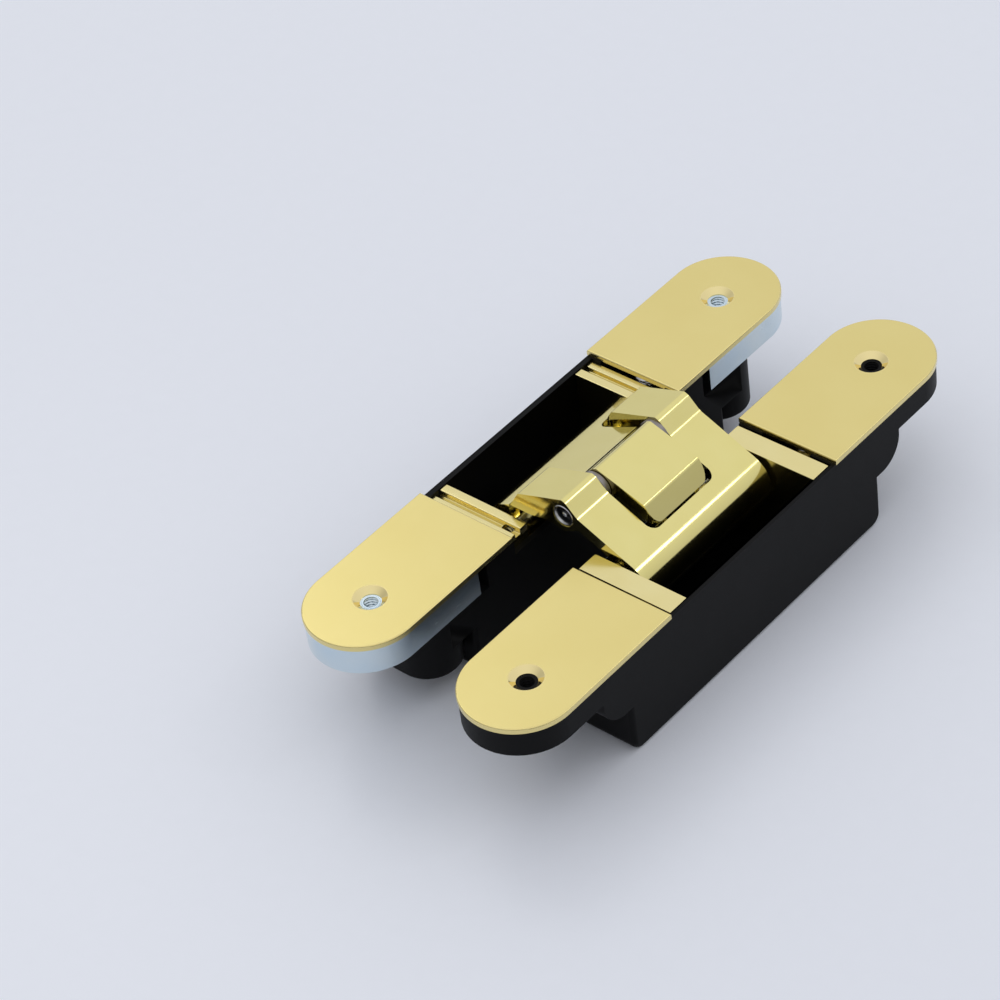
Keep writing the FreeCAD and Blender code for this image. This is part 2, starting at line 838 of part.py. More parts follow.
# Arms: side is 1 for the fork, whose plate goes down into the door body, and -1 for the tongue
def arm_outline():
    """The gooseneck seen from the end: reach from the knuckle's plane, height above the floor."""
    slope = (d.ramp_start_rise + d.bend_drop) / (d.plate_reach - d.ramp_start)
    inner_reach = d.plate_reach - d.arm_thickness
    underside = top_plane + d.ramp_start_rise - slope * (inner_reach - d.ramp_start) - d.arm_thickness
    pivot_low = pivot_height - d.pivot_boss_radius
    pivot_high = pivot_height + d.pivot_boss_radius
    return {
        "tip": (-tip_reach, top_plane + d.tip_rise),
        "tip_edge": (-tip_reach + d.tip_slant, top_plane + d.tip_rise + d.tip_height),
        "crest": (as_size(0), top_plane + d.crest_rise),
        "brow": (d.brow_reach, top_plane + d.brow_rise),
        "ramp": (d.ramp_start, top_plane + d.ramp_start_rise),
        "bend": (d.plate_reach, top_plane - d.bend_drop),
        "plate_end": (d.plate_reach, pivot_high + d.arm_thickness / 2),
        "foot_corner": (inner_reach, pivot_low + d.arm_thickness / 2),
        "foot_low": (pivot_reach, pivot_low),
        "foot_high": (pivot_reach, pivot_high),
        "web_start": (inner_reach - d.arm_thickness / 2, pivot_high + d.arm_thickness / 2),
        "web_end": (inner_reach, pivot_high + d.arm_thickness),
        "bend_inside": (inner_reach, underside),
        "ramp_inside": (d.ramp_start, top_plane + d.ramp_start_rise - d.arm_thickness),
        "knuckle_low": (as_size(0), knuckle_height - d.knuckle_radius),
        "neck_low": (-d.ramp_start, knuckle_height - d.arm_thickness),
        "tip_foot": (-tip_reach + d.tip_foot, top_plane + d.tip_rise),
    }


def arm_blank(body, side):
    sketch = new_sketch(body, "Gooseneck", "XZ_Plane")
    corners = {name: (x * side, z) for name, (x, z) in arm_outline().items()}
    outline(sketch, list(corners.values()))
    pad(body, sketch, d.arm_half_width * 2, symmetric=True)
    spots = {
        name: FreeCAD.Vector(as_size(x).value, 0, as_size(z).value) for name, (x, z) in corners.items()
    }
    for feature_name, radius, rounded in (
        ("Crest", d.crest_round, ("crest",)),
        ("Brow", d.brow_round, ("brow",)),
        ("RampBend", d.ramp_round, ("ramp",)),
        ("LowerBend", d.bend_round, ("bend",)),
        ("Foot", d.foot_round, ("plate_end", "foot_corner")),
        ("InsideBends", d.inside_round, ("bend_inside", "ramp_inside")),
        ("TipEdge", d.tip_round, ("tip_edge",)),
    ):
        round_edges(body, feature_name, radius, ALONG_Y, [spots[name] for name in rounded])
    lying(
        body,
        "PivotBoss",
        d.pivot_boss_radius,
        pivot_reach * side,
        pivot_height,
        -d.arm_half_width,
        d.arm_half_width,
        cut=False,
    )


def guide_lug(body, name, side, low, high):
    """The lug below the arm's tip that holds the tip pin."""
    x = -guide_reach * side
    limits = (x - d.guide_lug_radius, x + d.guide_lug_radius)
    box(body, name + "Web", limits, (low, high), (guide_height, top_plane + d.tip_rise), cut=False)
    lying(body, name + "Eye", d.guide_lug_radius, x, guide_height, low, high, cut=False)


def arm_bores(body, side, knuckle_gap):
    reach = d.arm_half_width * 2
    lying(body, "PivotBore", d.pivot_radius + d.pivot_gap, pivot_reach * side, pivot_height, -reach, reach)
    lying(body, "KnuckleBore", d.centre_pin_radius + knuckle_gap, 0, knuckle_height, -reach, reach)
    lying(body, "GuideBore", d.guide_radius, -guide_reach * side, guide_height, -reach, reach)


def make_outer_arm():
    """The fork: two legs beside the tongue, joined by the plate that goes down into the door body."""
    body = new_piece("outer_arm")
    arm_blank(body, 1)
    half = leg_start
    edge = window_edge
    corner = d.window_round
    window_low = pivot_height + d.pivot_boss_radius + d.arm_thickness
    sketch = new_sketch(body, "Window", "XY_Plane", window_low)
    tip = -tip_reach
    points = [
        (-d.plate_reach, -half - corner),
        (tip, -half - corner),
        (tip + corner, -half),
        (edge - corner, -half),
        (edge, -half + corner),
        (edge, half - corner),
        (edge - corner, half),
        (tip + corner, half),
        (tip, half + corner),
        (-d.plate_reach, half + corner),
    ]
    arcs = {
        1: ((tip + corner, -half - corner), -1),
        3: ((edge - corner, -half + corner), 1),
        5: ((edge - corner, half - corner), 1),
        7: ((tip + corner, half + corner), -1),
    }
    outline(sketch, points, arcs)
    pocket(body, sketch, d.plate_reach * 2, towards_normal=True)
    for name, way in NEAR_AND_FAR:
        lug_start = half + corner
        low, high = way_limits(way, lug_start, lug_start + d.guide_lug_width)
        guide_lug(body, "Lug" + name, 1, low, high)
    arm_bores(body, 1, as_size(0))
    place(body)
    return body


def make_inner_arm():
    """The tongue: a narrow arm from the wide plate that goes down into the jamb body."""
    body = new_piece("inner_arm")
    arm_blank(body, -1)
    half = d.tongue_half_width
    edge = -shoulder_edge
    corner = d.window_round
    outside = d.arm_half_width * 2
    low = pivot_height + d.pivot_boss_radius + d.arm_thickness
    for name, way in NEAR_AND_FAR:
        sketch = new_sketch(body, "Beside" + name, "XY_Plane", low)
        tip = tip_reach
        points = [
            (d.plate_reach, (half - corner) * way),
            (tip, (half - corner) * way),
            (tip - corner, half * way),
            (edge + corner, half * way),
            (edge, (half + corner) * way),
            (edge, outside * way),
            (d.plate_reach, outside * way),
        ]
        arcs = {
            1: ((tip - corner, (half - corner) * way), way),
            3: ((edge + corner, (half + corner) * way), -way),
        }
        outline(sketch, points, arcs)
        pocket(body, sketch, d.plate_reach * 2, towards_normal=True)
    guide_lug(body, "Lug", -1, -d.guide_lug_width, d.guide_lug_width)
    arm_bores(body, -1, d.pivot_gap)
    place(body)
    return body


# Pins
def make_pin(label, radius, half_reach, x, z):
    body = new_piece(label)
    lying(body, "Rod", radius, 0, 0, -half_reach, half_reach, cut=False)
    place(body, x, 0, z)
    return body


def make_knuckle_washer(name, way):
    """The steel washer on the centre pin that fills the gap between the tongue and a leg."""
    body = new_piece("knuckle_washer_" + name)
    low, high = way_limits(way, leg_start - d.washer_thickness, leg_start)
    lying(body, "Disc", d.washer_radius, 0, 0, low, high, cut=False)
    lying(body, "Bore", d.centre_pin_radius, 0, 0, low, high)
    place(body, 0, 0, knuckle_height)
    return body


def make_centre_pin():
    body = make_pin("centre_pin", d.centre_pin_radius, d.arm_half_width, 0, knuckle_height)
    for name, way in NEAR_AND_FAR:
        dish = body.newObject("PartDesign::SubtractiveCone", "Dish" + name)
        bind(dish, "Radius1", d.centre_pin_dish_radius)
        bind(dish, "Radius2", d.centre_pin_dish_radius - d.centre_pin_dish_depth)
        bind(dish, "Height", d.centre_pin_dish_depth)
        place(dish, 0, d.arm_half_width * way, 0, FreeCAD.Rotation(ALONG_X, 90 * way))
    doc.recompute()
    return body


make_jamb_body()
for end_name, end_way in NEAR_AND_FAR:
    make_jamb_block(end_name, end_way)
    make_block_screw(end_name, end_way)
    make_fixing_plate(end_name, end_way)
    make_plate_screw(end_name, end_way)
    for screw_name, screw_side in LEFT_AND_RIGHT:
        make_height_screw(end_name, end_way, screw_name, screw_side)
    make_cover("jamb", end_name, end_way, jamb_place)
make_pin("jamb_arm_pin", d.pivot_radius, pocket_end, -pivot_reach, pivot_height)
make_inner_arm()
make_pin("inner_guide_pin", d.guide_radius, guide_end, guide_reach, guide_height)
make_outer_arm()
make_centre_pin()
for end_name, end_way in NEAR_AND_FAR:
    make_knuckle_washer(end_name, end_way)
make_pin("outer_guide_pin", d.guide_radius, guide_end, -guide_reach, guide_height)
make_door_body()
for end_name, end_way in NEAR_AND_FAR:
    make_door_block(end_name, end_way)
    make_door_screw(end_name, end_way)
    make_cover("door", end_name, end_way, door_place)
make_pin("door_arm_pin", d.pivot_radius, door_bar_end, pivot_reach, pivot_height)

# Every object must have been made without an error, and each piece must be one valid solid
doc.recompute()
for item in doc.Objects:
    if "Invalid" in item.State or "Error" in item.State:
        raise ValueError("%s in state %s" % (item.Name, item.State))
for piece in LIST_OF_NODES:
    if piece.Shape.isNull() or not piece.Shape.isValid() or len(piece.Shape.Solids) != 1:
        raise ValueError("%s is not one valid solid" % piece.Label)

os.makedirs("parts", exist_ok=True)
for piece in LIST_OF_NODES:
    piece.Shape.exportStep(os.path.join("parts", piece.Label + ".step"))
print("arm turn %.4f, knuckle turn %.4f degrees" % (math.degrees(ARM_TURN), math.degrees(KNUCKLE_TURN)))
print("%d pieces" % len(LIST_OF_NODES))
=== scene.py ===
# %% [markdown]
# # A concealed door hinge, opened flat
# Two mortised bodies lie side by side on their backs. Gold gooseneck arms interleave over a steel
# pin and join them, and four gold covers hide the screws at the ends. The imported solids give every
# shape and place here. This lesson gives them finishes, breaks their sharp edges so that they catch
# the light, cuts threads and key sockets into the screws, and sets up the camera and the studio.

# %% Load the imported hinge
import json
import math

import bmesh
import bpy
import numpy as np
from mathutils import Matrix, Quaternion, Vector


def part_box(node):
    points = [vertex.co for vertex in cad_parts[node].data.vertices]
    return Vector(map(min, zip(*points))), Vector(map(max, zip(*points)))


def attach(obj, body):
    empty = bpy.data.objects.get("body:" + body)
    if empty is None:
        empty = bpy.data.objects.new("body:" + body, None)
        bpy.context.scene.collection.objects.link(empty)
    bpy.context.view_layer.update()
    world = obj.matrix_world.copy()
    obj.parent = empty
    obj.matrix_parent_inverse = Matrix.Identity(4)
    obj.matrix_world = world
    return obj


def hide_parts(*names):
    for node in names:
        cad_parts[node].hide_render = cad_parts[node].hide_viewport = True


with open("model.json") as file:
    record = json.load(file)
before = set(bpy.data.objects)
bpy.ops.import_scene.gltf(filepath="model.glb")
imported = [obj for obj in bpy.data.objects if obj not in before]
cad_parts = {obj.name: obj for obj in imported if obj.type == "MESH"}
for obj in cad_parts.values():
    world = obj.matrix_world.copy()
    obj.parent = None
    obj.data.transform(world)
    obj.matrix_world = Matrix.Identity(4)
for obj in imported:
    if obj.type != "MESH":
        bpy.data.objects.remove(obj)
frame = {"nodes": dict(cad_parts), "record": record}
NODES = frame["nodes"]
BODIES = frame["record"]["behaviour"]["bodies"]
BODY_OF = {node: body for body, members in BODIES.items() for node in members}
SLOT_OF = {part["node"]: part["material_slot"] for part in frame["record"]["subparts"]}
MM = 0.001
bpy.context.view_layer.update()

# %% [markdown]
# ## Shader maths as Python
# A finish is a small network of nodes. Wiring it by hand hides the idea, so one class wraps a
# socket and turns Python's operators into Math nodes. Every other node comes from one method that
# takes the node's type, its settings and what feeds its sockets.


# %% Wires and finishes
class Wire:
    """One output socket of a finish. Arithmetic on it adds Math nodes."""

    def __init__(self, finish, socket):
        self.finish = finish
        self.socket = socket

    def maths(self, operation, *values):
        return self.finish.node("ShaderNodeMath", {"operation": operation}, dict(enumerate(values)))

    def __add__(self, other):
        return self.maths("ADD", self, other)

    def __radd__(self, other):
        return self.maths("ADD", other, self)

    def __sub__(self, other):
        return self.maths("SUBTRACT", self, other)

    def __rsub__(self, other):
        return self.maths("SUBTRACT", other, self)

    def __mul__(self, other):
        return self.maths("MULTIPLY", self, other)

    def __rmul__(self, other):
        return self.maths("MULTIPLY", other, self)

    def __pow__(self, other):
        return self.maths("POWER", self, other)

    def __abs__(self):
        return self.maths("ABSOLUTE", self)

    def larger(self, other):
        """The greater of two values."""
        return self.maths("MAXIMUM", self, other)

    def below(self, edge, blur):
        """1 where the value is under the edge, 0 over it. The smooth step reaches blur to either side."""
        return self.finish.node(
            "ShaderNodeMapRange",
            {"interpolation_type": "SMOOTHSTEP"},
            {"Value": self, "From Min": edge - blur, "From Max": edge + blur, "To Min": 1.0, "To Max": 0.0},
        )


class Network:
    """A node tree, and the one method that adds nodes to it."""

    def __init__(self, tree):
        self.tree = tree

    def feed(self, socket, value):
        if isinstance(value, Wire):
            self.tree.links.new(value.socket, socket)
        elif isinstance(value, tuple) and len(value) == 3 and socket.type == "RGBA":
            socket.default_value = (*value, 1.0)
        else:
            socket.default_value = value

    def node(self, kind, settings, inputs, output=0):
        """Adds a node: its settings first, then the values or wires of its sockets."""
        made = self.tree.nodes.new(kind)
        for name, value in settings.items():
            setattr(made, name, value)
        for name, value in inputs.items():
            self.feed(made.inputs[name], value)
        return Wire(self, made.outputs[output])

    def blend(self, factor, first, second):
        """A colour between two colours."""
        settings = {"data_type": "RGBA"}
        return self.node("ShaderNodeMix", settings, {0: factor, 6: first, 7: second}, 2)


class Finish(Network):
    """A material with its Principled shader, and the patterns that finishes share."""

    def __init__(self, name, **sockets):
        self.material = bpy.data.materials.new(name)
        self.material.use_nodes = True
        super().__init__(self.material.node_tree)
        self.shader = self.tree.nodes["Principled BSDF"]
        self.set(**sockets)

    def set(self, **sockets):
        """Feeds the shader: base_color is its Base Color socket, and so on."""
        for name, value in sockets.items():
            title = " ".join(word.capitalize() for word in name.split("_")).replace("Ior", "IOR")
            self.feed(self.shader.inputs[title], value)

    def place(self):
        """Object coordinates, in metres."""
        return self.node("ShaderNodeTexCoord", {}, {}, "Object")

    def facing(self):
        """The height part of the surface's own direction: 1 on a face that looks up."""
        normal = self.node("ShaderNodeTexCoord", {}, {}, "Normal")
        return self.node("ShaderNodeSeparateXYZ", {}, {"Vector": normal}, "Z")

    def axes(self):
        """The three object coordinates, each a number."""
        place = self.place()
        return [self.node("ShaderNodeSeparateXYZ", {}, {"Vector": place}, axis) for axis in "XYZ"]

    def stretched(self, x, y, z):
        """Object coordinates with each axis scaled."""
        return self.node("ShaderNodeMapping", {}, {"Vector": self.place(), "Scale": (x, y, z)})

    def noise(self, scale, detail=2.0, roughness=0.5, vector=None):
        """A cloudy pattern from 0 to 1. Its grains are about 1 / scale metres wide."""
        inputs = {"Vector": vector or self.place(), "Scale": scale, "Detail": detail, "Roughness": roughness}
        return self.node("ShaderNodeTexNoise", {}, inputs)

    def relief(self, height, depth, strength=1.0):
        """Bumps as high as depth, in metres, where height is 1."""
        return self.node("ShaderNodeBump", {}, {"Height": height, "Distance": depth, "Strength": strength})


# %% [markdown]
# ## Two golds
# All the gold is a thin plating. The covers are blasted with fine grit before they are plated, so
# they look like satin, but their rims and the countersinks are turned afterwards: they are smoother and have
# no grain, and a painted highlight makes their gold paler.
# The arms and the blocks are polished and mirror the room. Both are one metal with another
# roughness, so the difference comes from grain and gloss and hardly from colour.

# %% Gold finishes
COVER_CENTRE = 22.85 * MM
COVER_HOLE = 63.6 * MM
SINK_RADIUS = 4.1 * MM
# Share of the painted highlight, a paler gold, that the rims get.
RIM_PAINTED_HIGHLIGHT = 0.35
LEVEL = 0.93


def satin_gold():
    """Blasted plating: fine grain, cloudy gloss, smoother countersinks and rims, and a painted highlight:
    paler gold in the countersinks and partly on the rims.
    """
    gold = Finish("satin_gold", metallic=1.0)
    x, y, _ = gold.axes()
    across = abs(x) - COVER_CENTRE
    along = abs(y) - COVER_HOLE
    from_hole = (across * across + along * along) ** 0.5
    countersink = from_hole.below(SINK_RADIUS, 0.1 * MM)
    rim = abs(gold.facing()).below(LEVEL, 0.04)
    # Painted highlight: the countersinks are painted a paler gold, and the rims partly so.
    painted_highlight = countersink.larger(RIM_PAINTED_HIGHLIGHT * rim)
    turned = countersink.larger(rim)
    clouds = gold.noise(60.0, detail=3.0)
    grain = gold.noise(4200.0, detail=2.0, roughness=0.6)
    tone = gold.blend(clouds, (0.765, 0.63, 0.22), (0.81, 0.685, 0.268))
    gold.set(
        coat_weight=0.6 * (1 - countersink),
        coat_roughness=0.28,
        base_color=gold.blend(painted_highlight, tone, (0.88, 0.74, 0.36)),
        roughness=0.30 + 0.05 * clouds - 0.24 * countersink - 0.06 * rim,
        normal=gold.relief(grain * (1 - turned), 0.012 * MM, 0.5),
    )
    return gold.material


def polished_gold(name, first, second, roughness):
    """Mirror plating: soft waves from the polishing wheel and a faint haze."""
    gold = Finish(name, metallic=1.0)
    waves = gold.noise(140.0, detail=1.0)
    haze = gold.noise(900.0, detail=4.0, roughness=0.65)
    lines = gold.noise(500.0, detail=2.0, vector=gold.stretched(1.0, 0.03, 1.0))
    gold.set(
        base_color=gold.blend(waves, first, second),
        roughness=roughness + 0.04 * haze + 0.03 * lines,
        normal=gold.relief(waves * 0.7 + lines * 0.05, 0.02 * MM, 0.25),
    )
    return gold.material


SATIN_GOLD = satin_gold()
ARM_GOLD = polished_gold("arm_gold", (0.78, 0.685, 0.265), (0.82, 0.73, 0.31), 0.085)
BLOCK_GOLD = polished_gold("block_gold", (0.80, 0.68, 0.30), (0.85, 0.75, 0.38), 0.16)
print("gold finishes:", SATIN_GOLD.name, ARM_GOLD.name, BLOCK_GOLD.name)

# %% [markdown]
# ## Black castings, zinc plates and steel
# The bodies are zinc castings under a satin black coat: nearly no colour, a weak even gloss and a
# skin that is a little uneven. The fixing plates are zinc plated, which gives a bluish metal with
# faint clouds of straw colour. The pins and screws are plain bright steel, and the sunk ends of the
# knuckle pin are painted dark as painted shade.

# %% Dark and silver finishes
PIN_REACH = 3.2 * MM
# Depth in from the knuckle pin's ends past which it is painted dark: painted shade.
PAINTED_SHADE_DEPTH = 0.55 * MM


def satin_black():
    """A coat of black on cast metal."""
    coat = Finish("satin_black", specular_ior_level=0.10)
    skin = coat.noise(1600.0, detail=3.0, roughness=0.6)
    clouds = coat.noise(70.0, detail=2.0)
    coat.set(
        base_color=coat.blend(clouds, (0.0022, 0.0022, 0.0024), (0.0045, 0.0046, 0.005)),
        roughness=0.42 + 0.10 * clouds + 0.05 * skin,
        normal=coat.relief(skin, 0.02 * MM, 0.35),
    )
    return coat.material


def bright_zinc():
    """Blue passivated zinc, with faint straw-coloured clouds and a fine milling grain along the plate."""
    zinc = Finish("bright_zinc", metallic=1.0)
    clouds = zinc.noise(90.0, detail=3.0, roughness=0.6)
    grain = zinc.noise(2600.0, detail=2.0, vector=zinc.stretched(1.0, 0.15, 1.0))
    tint = zinc.blend(clouds, (0.53, 0.68, 0.80), (0.76, 0.81, 0.80))
    zinc.set(
        base_color=tint,
        roughness=0.20 + 0.10 * grain,
        normal=zinc.relief(grain, 0.01 * MM, 0.4),
    )
    return zinc.material


def bright_steel():
    """Turned steel, with a short grain for its fine rings. The knuckle pin, which lies on the line x = 0,
    is painted dark a little way in from its ends: painted shade in its sunk ends and along its hidden shaft."""
    steel = Finish("bright_steel", metallic=1.0)
    clouds = steel.noise(400.0, detail=3.0)
    grain = steel.noise(5200.0, detail=1.0)
    x, y, _ = steel.axes()
    pin_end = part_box("centre_pin")[1][1]
    # Painted shade: the knuckle pin's sunk ends and its hidden shaft are painted dark.
    painted_shade = abs(x).below(PIN_REACH, 0.05 * MM) * abs(y).below(pin_end - PAINTED_SHADE_DEPTH, 0.1 * MM)
    turned = steel.blend(clouds, (0.60, 0.60, 0.61), (0.74, 0.74, 0.74))
    steel.set(
        base_color=steel.blend(painted_shade, turned, (0.055, 0.055, 0.06)),
        roughness=0.17 + 0.12 * clouds,
        normal=steel.relief(grain, 0.006 * MM, 0.4),
    )
    return steel.material


def dull_steel():
    """Stamped steel: grey, with a matt skin."""
    steel = Finish("dull_steel", metallic=1.0)
    clouds = steel.noise(700.0, detail=3.0)
    steel.set(
        base_color=steel.blend(clouds, (0.24, 0.22, 0.21), (0.36, 0.33, 0.32)),
        roughness=0.38 + 0.15 * clouds,
    )
    return steel.material


FINISHES = {
    "gold_cover": SATIN_GOLD,
    "gold_arm": ARM_GOLD,
    "gold_block": BLOCK_GOLD,
    "casting": satin_black(),
    "zinc": bright_zinc(),
    "steel": bright_steel(),
    "washer": dull_steel(),
}
for node, slot_name in SLOT_OF.items():
    for holder in NODES[node].material_slots:
        holder.material = FINISHES[slot_name]
print("finishes:", ", ".join(sorted(material.name for material in FINISHES.values())))

# %% [markdown]
# ## Edges that catch the light
# No real edge is perfectly sharp: plating rounds it and handling wears it, and the thin bright line
# that this leaves is most of what makes metal look like metal. A solid's mesh could be bevelled by
# hand, but a Bevel modifier on a merged copy does every edge alike, at the width that is asked for.
# Weighted normals then keep the large faces flat beside the narrow strips.
#
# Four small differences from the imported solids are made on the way, by moving points of the copies.
# The door's cap bars end just inside the outer wall of their casting, and that wall runs on past
# them as a thin lip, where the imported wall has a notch. The jamb casting's shallow ends stop where
# their round bosses, made further on, take over. The arms bend down into the bodies more softly: two
# fillets of one corner are alike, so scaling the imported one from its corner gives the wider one.

# %% Copies with broken edges
MERGE = 0.002 * MM
NEARLY_FLAT = math.radians(0.3)
SHARP = math.radians(28)
BEVEL_SEGMENTS = 2
BAR_END = 35.5 * MM
LIP_FACE = 35.7 * MM
POCKET_FACE = 35.0 * MM
NOTCH_FLOOR = 24.6 * MM
NOTCH_MIDDLE = 26.6 * MM
NOTCH_HALF = 3.5 * MM
WALL_TOP = 29.0 * MM
BEND_CORNER = np.array([24.0, 27.15]) * MM
BEND_RADIUS = 5.0 * MM
BEND_GROWTH = 1.6
BEND_SLACK = 0.03 * MM
RAMP_TURN = math.radians(24.75)
BEND_TANGENT = BEND_RADIUS * math.tan((math.pi / 2 - RAMP_TURN) / 2)
BEND_CENTRE = np.array([-BEND_RADIUS, -BEND_TANGENT])
BOSS = {"place": 53.8, "reach": 5.78, "radius": 7.9, "low": 7.1, "high": 22.0, "round": 1.0}


def end_bar_inside(points):
    """Points past the bar's end come back to it: x becomes the lesser of x and the end."""
    points[:, 0] = np.minimum(points[:, 0], BAR_END)


def close_notch(points):
    """Points on the notch's floor rise to the wall's top, and its inner ones move out to the lip."""
    x, y, z = points.T
    beside_bar = (abs(abs(y) - NOTCH_MIDDLE) < NOTCH_HALF) & (x > POCKET_FACE)
    notch = beside_bar & (abs(z - NOTCH_FLOOR) < MERGE)
    points[notch, 2] = WALL_TOP
    points[notch, 0] = np.maximum(x[notch], LIP_FACE)


def wider_bend(points):
    """Points on the lower bend move away from its sharp corner: corner plus growth times their offset."""
    offset = np.stack([abs(points[:, 0]) - BEND_CORNER[0], points[:, 2] - BEND_CORNER[1]], axis=1)
    on_arc = abs(np.hypot(*(offset - BEND_CENTRE).T) - BEND_RADIUS) < BEND_SLACK
    bend = on_arc & (np.hypot(*offset.T) < BEND_TANGENT + BEND_SLACK)
    moved = BEND_CORNER + BEND_GROWTH * offset[bend]
    points[bend, 0] = np.sign(points[bend, 0]) * moved[:, 0]
    points[bend, 2] = moved[:, 1]


def stop_at_boss(points):
    """Points past the middle of a boss come back to it: the size of y becomes at most that of the middle."""
    points[:, 1] = np.clip(points[:, 1], -BOSS["place"] * MM, BOSS["place"] * MM)


def broken_edges(node, width, change=None):
    """A copy of a solid with each edge sharper than SHARP cut back by width. The copy stands for it."""
    packed = NODES[node].data.copy()
    if change:
        points = np.empty(len(packed.vertices) * 3)
        packed.vertices.foreach_get("co", points)
        points = points.reshape(-1, 3)
        change(points)
        packed.vertices.foreach_set("co", points.ravel())
    shell = bmesh.new()
    shell.from_mesh(packed)
    bmesh.ops.remove_doubles(shell, verts=shell.verts, dist=MERGE)
    bmesh.ops.dissolve_limit(shell, angle_limit=NEARLY_FLAT, verts=shell.verts, edges=shell.edges)
    mesh = bpy.data.meshes.new(node + "_finished")
    shell.to_mesh(mesh)
    shell.free()
    mesh.shade_smooth()
    mesh.materials.append(FINISHES[SLOT_OF[node]])
    piece = bpy.data.objects.new(node + "_finished", mesh)
    bpy.context.scene.collection.objects.link(piece)
    bevel = piece.modifiers.new("BrokenEdges", "BEVEL")
    bevel.width = width
    bevel.segments = BEVEL_SEGMENTS
    bevel.limit_method = "ANGLE"
    bevel.angle_limit = SHARP
    bevel.use_clamp_overlap = True
    level = piece.modifiers.new("FlatFacesStayFlat", "WEIGHTED_NORMAL")
    level.mode = "FACE_AREA"
    level.weight = 100
    level.keep_sharp = False
    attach(piece, BODY_OF[node])
    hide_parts(node)
    return piece


EDGE_WIDTHS = {
    "inner_arm": 0.22,
    "outer_arm": 0.22,
    "jamb_block_near": 0.25,
    "jamb_block_far": 0.25,
    "door_block_near": 0.25,
    "door_block_far": 0.25,
    "jamb_body": 0.25,
    "door_body": 0.25,
    "fixing_plate_near": 0.3,
    "fixing_plate_far": 0.3,
    "knuckle_washer_near": 0.12,
    "knuckle_washer_far": 0.12,
}
CHANGES = {
    "inner_arm": wider_bend,
    "outer_arm": wider_bend,
    "door_block_near": end_bar_inside,
    "door_block_far": end_bar_inside,
    "door_body": close_notch,
    "jamb_body": stop_at_boss,
}
for node, width in EDGE_WIDTHS.items():
    piece = broken_edges(node, width * MM, CHANGES.get(node))
    print(piece.name, len(piece.data.polygons), "faces before the bevel")

# %% [markdown]
# ## Turned and threaded pieces
# Screws, threaded holes and the knuckle pin are all rings of points round an axis. A ring is a row
# of a grid, and one grid holds the whole skin: a key socket is a ring whose radius follows a
# hexagon, and a thread is a stack of rings whose radius rises and falls as the helix passes. The
# rings are worked out as whole arrays, and the sign of the volume says which way the faces point.

# %% Skin over rings
SEGMENTS = 72
ANGLES = np.arange(SEGMENTS) * 2 * np.pi / SEGMENTS
WELD = 0.0005 * MM
CREASE = math.radians(32)
RINGS_PER_TURN = 10
GROOVE_WIDTH = 1.25
GROOVE_ROUND = 1.1
THREAD_FADE = 0.7


def ring_skin(name, node, radius, station, centre, axis="Z", slot=None, loop=False):
    """A piece from rings: row i of radius and of station is ring i, column j is at angle j.
    A point is the centre, plus radius times (cos, sin) across the axis, plus station along it.
    The rows run from pole to pole, or round a closed loop for a tube with a wall."""
    count = len(radius)
    across = radius * np.cos(ANGLES), radius * np.sin(ANGLES)
    order = {"Z": (across[0], across[1], station), "Y": (across[0], station, across[1])}[axis]
    points = (np.stack(order, axis=-1) + np.asarray(centre)).reshape(-1, 3)
    rows = np.arange(count if loop else count - 1)[:, None]
    columns = np.arange(SEGMENTS)[None, :]
    upper, right = (rows + 1) % count, (columns + 1) % SEGMENTS
    here, above = rows * SEGMENTS, upper * SEGMENTS
    corners = (here + columns, here + right, above + right, above + columns)
    faces = np.stack(corners, axis=-1).reshape(-1, 4)
    first, second, third, fourth = (points[faces[:, k]] for k in range(4))
    middle = points.mean(axis=0)
    volume = np.einsum("ij,ij->i", first - middle, np.cross(third - first, fourth - second)).sum() / 6
    if volume < 0:
        faces = faces[:, ::-1]
    mesh = bpy.data.meshes.new(name)
    mesh.from_pydata(points.tolist(), [], faces.tolist())
    skin = bmesh.new()
    skin.from_mesh(mesh)
    bmesh.ops.remove_doubles(skin, verts=skin.verts, dist=WELD)
    skin.to_mesh(mesh)
    skin.free()
    mesh.shade_smooth()
    mesh.set_sharp_from_angle(angle=CREASE)
    slot_name = slot or SLOT_OF[node]
    mesh.materials.append(FINISHES[slot_name])
    piece = bpy.data.objects.new(name, mesh)
    bpy.context.scene.collection.objects.link(piece)
    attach(piece, BODY_OF[node])
    print("%s: %d faces, %.1f cubic mm" % (name, len(mesh.polygons), abs(volume) / MM**3))
    return piece


def even(values):
    """The same value all round each ring."""
    return np.asarray(values, dtype=float)[:, None] * np.ones(SEGMENTS)


def hexagon(corner):
    """The radius of a hexagon at each angle: its flat's distance over the cosine to the flat's middle."""
    turn = np.pi / 3
    return corner * np.cos(turn / 2) / np.cos(ANGLES % turn - turn / 2)


def helix(crest, depth, pitch, low, high, inward=False):
    """Rings of a thread from low to high, and its crest radius less the groove at each angle.
    The groove is a rounded V that runs once round in a pitch, and fades out at both ends."""
    rings = int(RINGS_PER_TURN * (high - low) / pitch) + 1
    station = even(np.linspace(low, high, rings))
    phase = (station / pitch - ANGLES / (2 * np.pi)) % 1.0
    groove = np.clip(GROOVE_WIDTH * (1 - 2 * np.abs(phase - 0.5)), 0, 1) ** GROOVE_ROUND
    fade = np.clip(np.minimum(station - low, high - station) / (THREAD_FADE * pitch), 0, 1)
    change = depth * groove * fade
    return station, crest + change if inward else crest - change


# %% [markdown]
# ## Bosses of the jamb casting
# Below each fixing plate the casting is thicker, because the clamp screws need metal round their
# threads. Seen from above the boss is a stadium that lies across the body: two round ends, one at
# each screw, and straight sides between them. In polar form the radius of a stadium is either the
# distance to its side or the distance to its round end, so it goes through the same ring skin.

# %% Clamp bosses
ROUNDING_RINGS = 6


